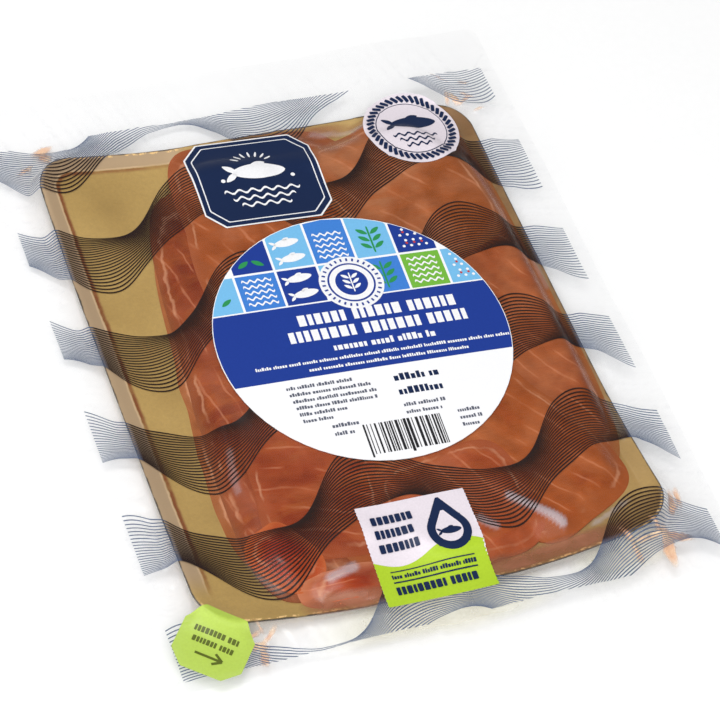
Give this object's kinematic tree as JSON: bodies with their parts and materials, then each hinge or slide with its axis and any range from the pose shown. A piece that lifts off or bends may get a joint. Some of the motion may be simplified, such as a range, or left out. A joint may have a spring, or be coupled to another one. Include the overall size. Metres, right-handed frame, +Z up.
{
  "type": "pack of sliced smoked fish",
  "caption": "Flat clear vacuum pouch of overlapping smoked fish slices on a rounded gold card with a turned-up rim, with a round paper label on top.",
  "frame": {"origin": "middle of the pouch's bounding box, at the level of the surface it lies on", "axes": "+X across the pouch, +Y along its length towards the straight end, +Z up, with the label on top"},
  "size_m": [0.2, 0.252, 0.0111],
  "materials": {
    "film": "clear glossy vacuum film, about 0.1 mm thick",
    "label_paper": "coated paper label, satin",
    "card": "gold foil laminated card, satin",
    "fish": "moist smoked fish under film, glossy",
    "ink": "printing ink on film, glossy"
  },
  "bodies": {
    "root": {"bag": "film", "round_label": "label_paper"}
  },
  "joints": []
}
